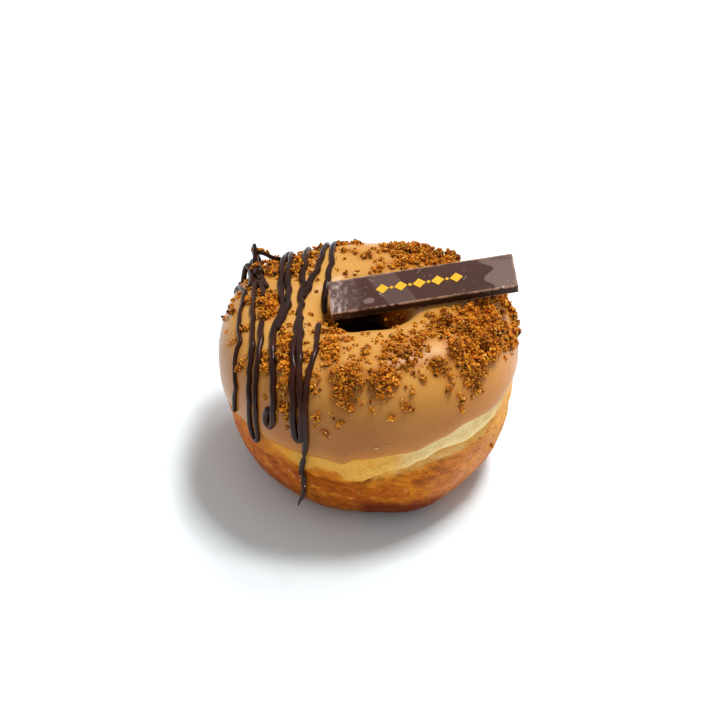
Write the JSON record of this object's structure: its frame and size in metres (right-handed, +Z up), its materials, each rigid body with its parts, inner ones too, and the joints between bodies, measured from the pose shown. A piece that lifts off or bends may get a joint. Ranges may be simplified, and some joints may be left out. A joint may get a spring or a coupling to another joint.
{
  "type": "ring doughnut",
  "caption": "Tall iced ring doughnut with crumbs, chocolate drizzle and a small chocolate bar over its hole.",
  "frame": {"origin": "middle of the bounding box at the level of the flat base, in the hole of the ring", "axes": "+Z up along the hole, -Y the front where the drizzle's tail runs down, +X toward the bar's raised end"},
  "size_m": [0.0912, 0.0908, 0.0658],
  "materials": {
    "dough": "matt fried crust",
    "icing": "soft satin caramel icing with crumbs and drizzle",
    "chocolate": "semi-gloss dark chocolate"
  },
  "bodies": {
    "root": {"dough_ring": "dough", "caramel_icing": "icing", "chocolate_bar": "chocolate"}
  },
  "joints": []
}
